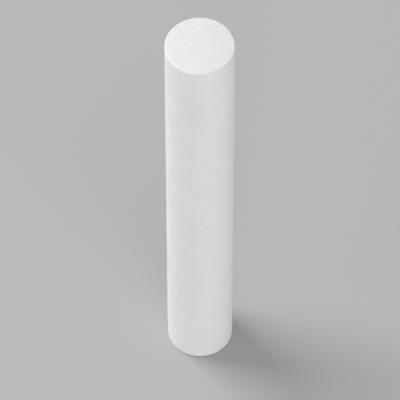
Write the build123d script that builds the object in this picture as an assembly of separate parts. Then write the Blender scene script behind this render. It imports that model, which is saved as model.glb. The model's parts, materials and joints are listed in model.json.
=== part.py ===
from build123d import *
import os

# A round stick of white blackboard chalk, standing on its foot with the axis along Z.
# It is one solid of revolution: a flat foot, a straight barrel and a barely crowned
# writing end, with the same small rounded rim where each end meets the barrel.

# Driving dimensions, in millimetres
STICK_LENGTH = 75.0  # from the foot to the highest point of the crown
STICK_DIAMETER = 10.0
RIM_RADIUS = 0.25  # rounding between each end and the barrel
CROWN_HEIGHT = 0.25  # how far the middle of the writing end stands above its edge

# Sizes that follow from them
STICK_RADIUS = STICK_DIAMETER / 2
SHOULDER_HEIGHT = STICK_LENGTH - CROWN_HEIGHT  # where crown and barrel meet before rounding


def half_section():
    """One side of the stick cut along its axis, drawn in the XZ plane."""
    foot_middle = (0, 0)
    foot_edge = (STICK_RADIUS, 0)
    shoulder = (STICK_RADIUS, SHOULDER_HEIGHT)
    crown_top = (0, STICK_LENGTH)
    level_outwards = (1, 0)

    with BuildSketch(Plane.XZ) as section:
        with BuildLine():
            Polyline(crown_top, foot_middle, foot_edge, shoulder)
            TangentArc(crown_top, shoulder, tangent=level_outwards)
        make_face()
        corners_on_barrel = section.vertices().group_by(Axis.X)[-1]
        fillet(corners_on_barrel, radius=RIM_RADIUS)
    return section.sketch


def chalk_stick():
    """The whole stick: the half section turned once round the axis."""
    return revolve(half_section(), axis=Axis.Z)


os.makedirs("parts", exist_ok=True)
export_step(chalk_stick(), "parts/chalk_stick.step")
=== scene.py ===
"""A stick of white blackboard chalk on a pale floor, laid out as an add-on.

The stick is a turned form with the skin of pressed chalk: slow waves, faint lines along the
barrel, slightly uneven rims and shallow dimples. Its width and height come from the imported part.
"""

import json
import math
import random

import bmesh
import bpy
from bpy.props import FloatProperty, FloatVectorProperty, IntProperty, PointerProperty
from bpy.types import Operator, Panel, PropertyGroup
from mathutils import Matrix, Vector, noise
from mathutils.kdtree import KDTree


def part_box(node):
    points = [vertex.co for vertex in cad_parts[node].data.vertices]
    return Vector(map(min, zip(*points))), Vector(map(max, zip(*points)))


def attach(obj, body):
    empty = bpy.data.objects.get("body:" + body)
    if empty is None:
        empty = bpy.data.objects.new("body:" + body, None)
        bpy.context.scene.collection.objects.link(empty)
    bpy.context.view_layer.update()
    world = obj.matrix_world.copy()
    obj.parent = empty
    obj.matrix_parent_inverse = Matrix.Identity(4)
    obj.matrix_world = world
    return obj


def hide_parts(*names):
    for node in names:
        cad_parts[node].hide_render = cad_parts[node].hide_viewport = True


bl_info = {
    "name": "Chalk Stick",
    "version": (1, 0, 0),
    "blender": (4, 5, 0),
    "location": "3D View > Sidebar > Chalk",
    "description": "Makes a stick of white blackboard chalk and the stage it stands on",
    "category": "Object",
}

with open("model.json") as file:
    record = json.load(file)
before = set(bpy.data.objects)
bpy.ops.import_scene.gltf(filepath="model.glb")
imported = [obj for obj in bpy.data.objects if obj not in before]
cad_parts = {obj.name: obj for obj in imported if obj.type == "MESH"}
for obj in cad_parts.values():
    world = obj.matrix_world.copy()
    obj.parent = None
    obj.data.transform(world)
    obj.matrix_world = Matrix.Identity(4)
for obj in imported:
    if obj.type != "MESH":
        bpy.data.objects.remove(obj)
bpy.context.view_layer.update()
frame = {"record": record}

MM = 0.001  # one millimetre in the scene's metres
QUARTER_TURN = math.pi / 2
WHITE = (1.0, 1.0, 1.0)
NOISE_MIDDLE = 0.5  # half way up a noise that runs from 0 to 1
STICK_NODE = "chalk_stick"
WRAP_MAP = "OFBake"  # the export bakes the finish through a map of this name
BARREL = next(mount for mount in frame["record"]["mounts"] if mount["name"] == "barrel")

RIM_RINGS = 8  # rings of faces round each rounded rim
SMALLEST_DIMPLE_SHARE = 0.4  # size of the smallest dimple as a share of the widest

# How much each part of the skin counts towards its darker colour, 1 in all; the grain and powder
# parts put it in the hollows as painted shade
CLOUD_SHARE = 0.2
GRAIN_SHARE = 0.4
POWDER_SHARE = 0.25
LINE_SHARE = 0.15

FINE_PORE_SHARE = 0.14  # radius of a fine pore as a share of the spacing
WIDE_PORE_SHARE = 0.09  # the same for a wide pore
PORE_FLOOR_SHARE = 0.4  # the flat bottom of a pore as a share of its mouth
PORE_KEPT_SHARE = 0.3  # share of the places for a pore that have one
PORE_PAINTED_SHADE_SHARE = 0.4  # how far a pore takes on its painted shade
ROUGHNESS_SWING = 0.12  # how much rougher the tops of the grains are than the gaps
CHALK_DIFFUSE_ROUGHNESS = 0.2  # flattens the shading, as powder does
CHALK_GLOSS = 0.25  # strength of the faint gloss, where 0.5 is usual

FLOOR_SIDES = 96  # straight sides of the round floor
FLOOR_GAP = 0.01 * MM  # keeps the floor's face apart from the foot's
FLOOR_ROUGHNESS = 0.85
FLOOR_GLOSS = 0.2

# Places of a Mix node's colour sockets, which have the same names as its number sockets
MIX_FIRST = 6
MIX_SECOND = 7
MIX_RESULT = 2


def length(name, description, default):
    """A setting for a length, in metres."""
    return FloatProperty(
        name=name,
        description=description,
        default=default,
        min=0.0,
        precision=6,
        subtype="DISTANCE",
        unit="LENGTH",
    )


def colour(name, description, default):
    """A setting for a colour."""
    return FloatVectorProperty(
        name=name,
        description=description,
        default=default,
        min=0.0,
        max=1.0,
        size=3,
        subtype="COLOR",
    )


def place(name, description, default):
    """A setting for a point in the room, in metres."""
    return FloatVectorProperty(
        name=name,
        description=description,
        default=default,
        size=3,
        subtype="TRANSLATION",
        unit="LENGTH",
    )


def power(name, description, default):
    """A setting for a light's power, in watts."""
    return FloatProperty(name=name, description=description, default=default, min=0.0, unit="POWER")


class ChalkStickSettings(PropertyGroup):
    """Sizes, skin and colours of the stick."""

    diameter: length("Diameter", "Width of the barrel", 2 * BARREL["dims"]["r_mm"] * MM)
    height: length("Height", "From the foot to the top of the crown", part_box(STICK_NODE)[1].z)
    rim_radius: length("Rim Radius", "Rounding where each end meets the barrel", 0.25 * MM)
    crown_height: length("Crown Height", "Rise of the writing end above its edge", 0.25 * MM)
    cell: length("Mesh Cell", "Side of one face of the mesh", 0.17 * MM)

    wave_depth: length("Wave Depth", "Depth of the slow waves in the surface", 0.03 * MM)
    wave_span: length("Wave Span", "Distance from one slow wave to the next", 11 * MM)
    ripple_depth: length("Ripple Depth", "Depth of the finer waves in the surface", 0.008 * MM)
    ripple_span: length("Ripple Span", "Distance from one finer wave to the next", 2.2 * MM)
    line_depth: length("Line Depth", "Depth of the faint lines along the barrel", 0.004 * MM)
    line_width: length("Line Width", "Distance from one line to the next", 0.55 * MM)
    line_length: length("Line Length", "How far a line runs along the barrel", 26 * MM)
    rim_dip_depth: length("Rim Dip Depth", "Depth of the dips in the rounded rims", 0.03 * MM)
    rim_dip_span: length("Rim Dip Span", "Distance from one dip to the next", 0.8 * MM)

    dimple_count: IntProperty(
        name="Dimples", description="Number of shallow dimples", default=46, min=0
    )
    dimple_radius: length("Dimple Radius", "Radius of the widest dimple", 0.5 * MM)
    dimple_depth: length("Dimple Depth", "Depth of the widest dimple", 0.03 * MM)
    seed: IntProperty(name="Seed", description="Draws another set of dimples", default=7, min=0)

    cloud_span: length("Cloud Span", "Size of the faint clouds in the white", 3.5 * MM)
    grain_span: length("Grain Span", "Size of the grains in the skin", 0.24 * MM)
    grain_height: length("Grain Height", "How far the grains stand out", 0.021 * MM)
    powder_span: length("Powder Span", "Size of the powder on the grains", 0.09 * MM)
    powder_height: length("Powder Height", "How far the powder stands out", 0.007 * MM)
    streak_height: length("Streak Height", "How far the finest lines stand out", 0.007 * MM)
    fine_pore_spacing: length("Fine Pore Spacing", "Between places for fine pores", 0.55 * MM)
    wide_pore_spacing: length("Wide Pore Spacing", "Between places for wide pores", 1.5 * MM)
    pore_depth: length("Pore Depth", "Depth of the pinprick pores", 0.036 * MM)

    chalk_white: colour("Chalk White", "Colour of the clean chalk", (0.912, 0.912, 0.907))
    # The darker colour: the chalk's own cloudy tone and streaks, and painted shade in the hollows
    # between the grains
    chalk_grey_and_painted_shade: colour("Chalk Grey and Painted Shade", "Colour between the grains", (0.797, 0.796, 0.789))
    # Painted shade: the darker colour put inside the pinprick pores
    pore_painted_shade: colour("Pore Painted Shade", "Colour inside the pinprick pores", (0.66, 0.655, 0.64))
    roughness: FloatProperty(
        name="Roughness",
        description="How matt the chalk is",
        default=0.9,
        min=0.0,
        max=1.0,
        subtype="FACTOR",
    )


class ChalkStageSettings(PropertyGroup):
    """Floor, light and camera."""

    floor_colour: colour("Floor", "Colour of the floor and the backdrop", (0.47, 0.478, 0.49))
    floor_radius: length("Floor Radius", "Radius of the floor", 3.0)
    fade_start: length("Fade Start", "Where the floor begins to fade into the backdrop", 0.3)
    fade_end: length("Fade End", "Where the floor has become the backdrop", 0.8)
    room_light: FloatProperty(
        name="Room Light", description="Strength of the even light", default=0.44, min=0.0
    )
    key_power: power("Key Power", "Power of the light at the back left", 11.6)
    key_place: place("Key Place", "Where that light hangs", (-0.84, 0.485, 0.74))
    key_width: length("Key Width", "Side of that light", 0.8)
    fill_power: power("Fill Power", "Power of the weaker light in front", 6.3)
    fill_place: place("Fill Place", "Where the weaker light stands", (0.27, -1.08, 0.485))
    fill_width: length("Fill Width", "Side of the weaker light", 1.0)

    view_elevation: FloatProperty(
        name="View Elevation",
        description="Angle of the camera above the horizon, seen from the writing end",
        default=math.radians(54.0),
        subtype="ANGLE",
    )
    view_distance: length("View Distance", "From the camera to the writing end", 0.575)
    aim_height: length("Aim Height", "Height of the point that the camera looks at", 36 * MM)
    lens: FloatProperty(
        name="Lens",
        description="Focal length of the camera",
        default=370.0,
        min=1.0,
        subtype="DISTANCE_CAMERA",
    )


class Wire:
    """A node's output that can stand in a sum: each operator adds its Math node."""

    def __init__(self, finish, socket):
        self.finish = finish
        self.socket = socket

    def other(self, output):
        """Another output of the same node."""
        return Wire(self.finish, self.socket.node.outputs[output])

    def math(self, operation, first, second):
        """Adds a Math node on two terms, each a wire or a number."""
        return self.finish.node("ShaderNodeMath", {"operation": operation}, {0: first, 1: second})

    def __add__(self, other):
        return self.math("ADD", self, other)

    def __radd__(self, other):
        return self.math("ADD", other, self)

    def __sub__(self, other):
        return self.math("SUBTRACT", self, other)

    def __rsub__(self, other):
        return self.math("SUBTRACT", other, self)

    def __mul__(self, other):
        return self.math("MULTIPLY", self, other)

    def __rmul__(self, other):
        return self.math("MULTIPLY", other, self)

    def __lt__(self, other):
        return self.math("LESS_THAN", self, other)

    def __gt__(self, other):
        return self.math("GREATER_THAN", self, other)


class Finish:
    """The nodes of one material, or of the world."""

    def __init__(self, owner):
        owner.use_nodes = True
        self.tree = owner.node_tree
        self.tree.nodes.clear()

    def node(self, kind, settings=None, sockets=None, output=0):
        """Adds a node: its settings first, then the values or links of its sockets."""
        node = self.tree.nodes.new(kind)
        for name, value in (settings or {}).items():
            setattr(node, name, value)
        for name, value in (sockets or {}).items():
            if isinstance(value, Wire):
                self.tree.links.new(value.socket, node.inputs[name])
            else:
                node.inputs[name].default_value = value
        return Wire(self, node.outputs[output]) if node.outputs else None

    def ease(self, value, start, end):
        """0 on the start's side, 1 on the end's, and smooth between them."""
        return self.node(
            "ShaderNodeMapRange",
            {"interpolation_type": "SMOOTHSTEP"},
            {"Value": value, "From Min": start, "From Max": end},
        )

    def cloud(self, where, span, detail, roughness=0.5, contrast=2.0):
        """Soft noise from 0 to 1, with features of about that span in metres."""
        mist = self.node(
            "ShaderNodeTexNoise",
            {"noise_dimensions": "3D"},
            {"Vector": where, "Scale": 1 / span, "Detail": detail, "Roughness": roughness},
        )
        reach = NOISE_MIDDLE / contrast
        return self.ease(mist, NOISE_MIDDLE - reach, NOISE_MIDDLE + reach)

    def pores(self, where, spacing, radius_share):
        """1 inside small round pores, whose radius is a share of their spacing in metres."""
        apart = self.node(
            "ShaderNodeTexVoronoi",
            {"feature": "F1"},
            {"Vector": where, "Scale": 1 / spacing},
            output="Distance",
        )
        # Each place for a pore has a chance colour, and its red decides whether there is one
        lot = self.node("ShaderNodeSeparateColor", None, {"Color": apart.other("Color")})
        inside = self.ease(apart, radius_share, PORE_FLOOR_SHARE * radius_share)
        return inside * (lot < PORE_KEPT_SHARE)

    def blend(self, share, first, second):
        """The first colour where share is 0, the second where it is 1."""
        sockets = {"Factor": share, MIX_FIRST: first, MIX_SECOND: second}
        return self.node("ShaderNodeMix", {"data_type": "RGBA"}, sockets, output=MIX_RESULT)


def opaque(rgb):
    """The colour with the alpha that a colour socket takes as well."""
    return (*rgb, 1.0)


def spread(start, end, steps):
    """Evenly spaced numbers from start to end, both included."""
    return [start + (end - start) * step / steps for step in range(steps + 1)]


def stick_outline(stick):
    """The stick's half section as (distance from the axis, height) from the foot to the crown."""
    radius = stick.diameter / 2
    rim = stick.rim_radius
    flat = radius - rim  # the level part of the foot
    ball = (radius**2 + stick.crown_height**2) / (2 * stick.crown_height)  # the crown is its cap
    ball_middle = stick.height - ball
    lean = math.asin(flat / (ball - rim))  # slope of the crown where it meets the rim
    shoulder = ball_middle + (ball - rim) * math.cos(lean)  # height where the barrel ends

    end_rings = math.ceil(flat / stick.cell)
    barrel_rings = math.ceil((shoulder - rim) / stick.cell)

    def rim_point(height, angle):
        """A point on the rounding whose middle has that height."""
        return flat + rim * math.cos(angle), height + rim * math.sin(angle)

    foot = [(distance, 0.0) for distance in spread(0, flat, end_rings)]
    lower_rim = [rim_point(rim, angle) for angle in spread(-QUARTER_TURN, 0, RIM_RINGS)]
    barrel = [(radius, height) for height in spread(rim, shoulder, barrel_rings)]
    upper_rim = [rim_point(shoulder, angle) for angle in spread(0, QUARTER_TURN - lean, RIM_RINGS)]
    crown = [
        (ball * math.sin(angle), ball_middle + ball * math.cos(angle))
        for angle in spread(lean, 0, end_rings)
    ]
    return foot + lower_rim[1:] + barrel[1:] + upper_rim[1:] + crown[1:]


def turned_form(stick):
    """The outline turned once round the axis into a closed form."""
    form = bmesh.new()
    foot_middle = form.verts.new((0, 0, 0))
    crown_middle = form.verts.new((0, 0, stick.height))
    outline = stick_outline(stick)[1:-1]  # between those two points
    spoke_count = math.ceil(math.pi * stick.diameter / stick.cell)
    spokes = [
        [
            form.verts.new((distance * math.cos(turn), distance * math.sin(turn), height))
            for distance, height in outline
        ]
        for turn in spread(0, math.tau, spoke_count)[:-1]
    ]
    for spoke, following in zip(spokes, spokes[1:] + spokes[:1]):
        form.faces.new((foot_middle, following[0], spoke[0]))
        for corners in zip(spoke, following, following[1:], spoke[1:]):
            form.faces.new(corners)
        form.faces.new((crown_middle, spoke[-1], following[-1]))
    form.verts.index_update()
    form.normal_update()
    return form


def skin_depths(stick, form):
    """How far the waves, the lines and the dips in the rims go below the smooth form."""

    def relief(depth, spot):
        """Noise from 0 to the depth."""
        return depth * (1 - noise.noise(spot)) / 2

    line_size = Vector((stick.line_width, stick.line_width, stick.line_length))
    depths = []
    for vert in form.verts:
        spot = vert.co
        along = Vector(step / size for step, size in zip(spot, line_size))
        rise = abs(vert.normal.z)
        side = (1 - rise) ** 2  # 1 on the barrel, 0 on the ends
        rim = 4 * rise**2 * (1 - rise**2)  # 1 half way round a rim, 0 on the barrel and the ends
        depths.append(
            relief(stick.wave_depth, spot / stick.wave_span)
            + relief(stick.ripple_depth, spot / stick.ripple_span)
            + relief(stick.line_depth, along) * side
            + relief(stick.rim_dip_depth, spot / stick.rim_dip_span) * rim
        )
    return depths


def add_dimples(stick, form, depths):
    """Adds shallow round dimples to the depths, at points drawn evenly over the surface."""
    points = KDTree(len(form.verts))
    for vert in form.verts:
        points.insert(vert.co, vert.index)
    points.balance()

    # Points crowd together towards the axis, so each counts by its distance from there
    draw = random.Random(stick.seed)
    room = [vert.co.xy.length for vert in form.verts]
    for middle in draw.choices(list(form.verts), weights=room, k=stick.dimple_count):
        share = draw.uniform(SMALLEST_DIMPLE_SHARE, 1.0)
        radius = stick.dimple_radius * share
        # Deepest in the middle, and level with the surface at the edge
        for _, index, apart in points.find_range(middle.co, radius):
            depths[index] += stick.dimple_depth * share * (1 - (apart / radius) ** 2) ** 2


def wrap(stick, form):
    """Lays the barrel out as one strip and the ends as two discs, on a map with sides of 1."""
    margin = 0.006  # bare edge round the strip
    strip_height = 0.78
    disc_radius = 0.095
    foot_middle = Vector((0.12, 0.895))
    crown_middle = Vector((0.36, 0.895))
    end_slope = math.cos(math.radians(45))  # a face that looks further up or down is on an end

    layer = form.loops.layers.uv.new(WRAP_MAP)
    for face in form.faces:
        on_end = abs(face.normal.z) > end_slope
        disc_middle = crown_middle if face.normal.z > 0 else foot_middle
        middle = face.calc_center_median()
        turn = math.atan2(middle.y, middle.x)
        for corner in face.loops:
            spot = corner.vert.co
            if on_end:
                corner[layer].uv = disc_middle + spot.xy * disc_radius / (stick.diameter / 2)
                continue
            # Counted from the middle of the face, so that the seam doesn't part its corners
            swing = math.remainder(math.atan2(spot.y, spot.x) - turn, math.tau)
            corner[layer].uv = (
                margin + (1 - 2 * margin) * spot.z / stick.height,
                margin + strip_height * (math.pi + turn + swing) / math.tau,
            )


def stick_mesh(stick):
    """The stick as one closed mesh with its skin."""
    form = turned_form(stick)
    wrap(stick, form)
    depths = skin_depths(stick, form)
    add_dimples(stick, form, depths)
    for vert, depth in zip(form.verts, depths):
        vert.co -= vert.normal * depth
    for face in form.faces:
        face.smooth = True
    mesh = bpy.data.meshes.new(STICK_NODE)
    form.to_mesh(mesh)
    form.free()
    return mesh


def chalk_finish(stick):
    """White pressed chalk: matt, a little cloudy, with a fine powdery grain and pinprick pores."""
    material = bpy.data.materials.new("white_chalk")
    finish = Finish(material)
    where = finish.node("ShaderNodeTexCoord", output="Object")
    drawn_out = finish.node(
        "ShaderNodeVectorMath",
        {"operation": "MULTIPLY"},
        {0: where, 1: (1.0, 1.0, stick.line_width / stick.line_length)},
    )
    clouds = finish.cloud(where, stick.cloud_span, detail=4.0, roughness=0.6, contrast=2.5)
    grain = finish.cloud(where, stick.grain_span, detail=3.0, roughness=0.6)
    powder = finish.cloud(where, stick.powder_span, detail=2.0)
    streaks = finish.cloud(drawn_out, stick.line_width, detail=3.0)
    fine_pores = finish.pores(where, stick.fine_pore_spacing, FINE_PORE_SHARE)
    wide_pores = finish.pores(where, stick.wide_pore_spacing, WIDE_PORE_SHARE)
    pores = fine_pores + wide_pores

    # Painted shade: darker where the grain and the powder sink, so the hollows between them look
    # shadowed
    hollow_tone_and_painted_shade = GRAIN_SHARE * (1 - grain) + POWDER_SHARE * (1 - powder)
    # The clouds and streaks are the chalk's own tone, and the hollows add painted shade
    shade = CLOUD_SHARE * clouds + LINE_SHARE * streaks + hollow_tone_and_painted_shade
    skin = finish.blend(shade, opaque(stick.chalk_white), opaque(stick.chalk_grey_and_painted_shade))
    grit = stick.grain_height * grain + stick.powder_height * powder
    relief = grit + stick.streak_height * streaks - stick.pore_depth * pores
    shader = finish.node(
        "ShaderNodeBsdfPrincipled",
        None,
        {
            # The pores are darkened with painted shade
            "Base Color": finish.blend(PORE_PAINTED_SHADE_SHARE * pores, skin, opaque(stick.pore_painted_shade)),
            "Roughness": stick.roughness + ROUGHNESS_SWING * (grain - NOISE_MIDDLE),
            "Diffuse Roughness": CHALK_DIFFUSE_ROUGHNESS,
            "Specular IOR Level": CHALK_GLOSS,
            "Normal": finish.node("ShaderNodeBump", None, {"Distance": 1.0, "Height": relief}),
        },
    )
    finish.node("ShaderNodeOutputMaterial", None, {"Surface": shader})
    return material


def floor_finish(stage):
    """Plain pale floor that runs out into the backdrop's own colour far from the stick."""
    material = bpy.data.materials.new("pale_floor")
    finish = Finish(material)
    where = finish.node("ShaderNodeTexCoord", output="Object")
    reach = finish.node("ShaderNodeVectorMath", {"operation": "LENGTH"}, {0: where}, output="Value")
    sheet = finish.node(
        "ShaderNodeBsdfPrincipled",
        None,
        {
            "Base Color": opaque(stage.floor_colour),
            "Roughness": FLOOR_ROUGHNESS,
            "Specular IOR Level": FLOOR_GLOSS,
        },
    )
    backdrop = finish.node("ShaderNodeEmission", None, {"Color": opaque(stage.floor_colour)})
    fade = finish.ease(reach, stage.fade_start, stage.fade_end)
    surface = finish.node("ShaderNodeMixShader", None, {0: fade, 1: sheet, 2: backdrop})
    finish.node("ShaderNodeOutputMaterial", None, {"Surface": surface})
    return material


def studio_room(stage):
    """Even white light from all round, with the backdrop's colour where it is seen."""
    world = bpy.data.worlds.new("studio_room")
    finish = Finish(world)
    ray = finish.node("ShaderNodeLightPath", output="Is Camera Ray")
    seen = ray + ray.other("Is Glossy Ray") + ray.other("Is Transmission Ray")
    light = finish.node(
        "ShaderNodeBackground", None, {"Color": opaque(WHITE), "Strength": stage.room_light}
    )
    backdrop = finish.node("ShaderNodeBackground", None, {"Color": opaque(stage.floor_colour)})
    surface = finish.node("ShaderNodeMixShader", None, {0: seen, 1: light, 2: backdrop})
    finish.node("ShaderNodeOutputWorld", None, {"Surface": surface})
    return world


def floor_sheet(stage):
    """A round floor just under the foot."""
    mesh = bpy.data.meshes.new("floor")
    form = bmesh.new()
    bmesh.ops.create_circle(form, cap_ends=True, segments=FLOOR_SIDES, radius=stage.floor_radius)
    bmesh.ops.translate(form, verts=form.verts, vec=(0, 0, -FLOOR_GAP))
    form.to_mesh(mesh)
    form.free()
    mesh.materials.append(floor_finish(stage))
    return bpy.data.objects.new("floor", mesh)


def facing(thing, target):
    """Turns a light or a camera to the target."""
    thing.rotation_euler = (target - thing.location).to_track_quat("-Z", "Y").to_euler()
    return thing


def soft_light(name, watts, width, spot, target):
    """A square soft light that faces the target."""
    lamp = bpy.data.lights.new(name, "AREA")
    lamp.energy = watts
    lamp.size = width
    light = bpy.data.objects.new(name, lamp)
    light.location = spot
    return facing(light, target)


def view_camera(stage, end, target):
    """A camera that looks at the target from its angle and distance to the writing end."""
    eye = bpy.data.cameras.new("camera")
    eye.lens = stage.lens
    camera = bpy.data.objects.new("camera", eye)
    back = Vector((0, -math.cos(stage.view_elevation), math.sin(stage.view_elevation)))
    camera.location = end + back * stage.view_distance
    return facing(camera, target)


class CHALK_OT_stick(Operator):
    """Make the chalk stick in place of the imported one"""

    bl_idname = "chalk.stick"
    bl_label = "Chalk Stick"

    def execute(self, context):
        stick = context.scene.chalk_stick
        mesh = stick_mesh(stick)
        mesh.materials.append(chalk_finish(stick))
        piece = bpy.data.objects.new("white_chalk_stick", mesh)
        context.scene.collection.objects.link(piece)
        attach(piece, "root")
        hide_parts(STICK_NODE)
        return {"FINISHED"}


class CHALK_OT_stage(Operator):
    """Make the floor, the lights and the camera"""

    bl_idname = "chalk.stage"
    bl_label = "Stage"

    def execute(self, context):
        scene = context.scene
        stage = scene.chalk_stage
        target = Vector((0, 0, stage.aim_height))
        end = Vector((0, 0, scene.chalk_stick.height))
        floor = floor_sheet(stage)
        camera = view_camera(stage, end, target)
        for thing in (
            floor,
            camera,
            soft_light("key_light", stage.key_power, stage.key_width, stage.key_place, target),
            soft_light("fill_light", stage.fill_power, stage.fill_width, stage.fill_place, target),
        ):
            scene.collection.objects.link(thing)
        scene.camera = camera
        scene.world = studio_room(stage)
        scene.view_settings.view_transform = "Standard"
        return {"FINISHED"}


class CHALK_PT_sidebar(Panel):
    """Settings of the stick and its stage, each with the button that makes it"""

    bl_idname = "CHALK_PT_sidebar"
    bl_label = "Chalk Stick"
    bl_space_type = "VIEW_3D"
    bl_region_type = "UI"
    bl_category = "Chalk"

    def draw(self, context):
        for settings, operator in (
            (context.scene.chalk_stick, CHALK_OT_stick),
            (context.scene.chalk_stage, CHALK_OT_stage),
        ):
            box = self.layout.box()
            for name in type(settings).__annotations__:
                box.prop(settings, name)
            box.operator(operator.bl_idname)


CLASSES = (
    ChalkStickSettings,
    ChalkStageSettings,
    CHALK_OT_stick,
    CHALK_OT_stage,
    CHALK_PT_sidebar,
)


def register():
    """Makes the classes known to Blender and gives every scene their settings."""
    for each in CLASSES:
        bpy.utils.register_class(each)
    bpy.types.Scene.chalk_stick = PointerProperty(type=ChalkStickSettings)
    bpy.types.Scene.chalk_stage = PointerProperty(type=ChalkStageSettings)


def unregister():
    """Takes the settings and the classes away again."""
    del bpy.types.Scene.chalk_stage
    del bpy.types.Scene.chalk_stick
    for each in reversed(CLASSES):
        bpy.utils.unregister_class(each)


def main():
    """Makes the stick and its stage."""
    register()
    bpy.ops.chalk.stick()
    bpy.ops.chalk.stage()


if __name__ == "__main__":
    main()
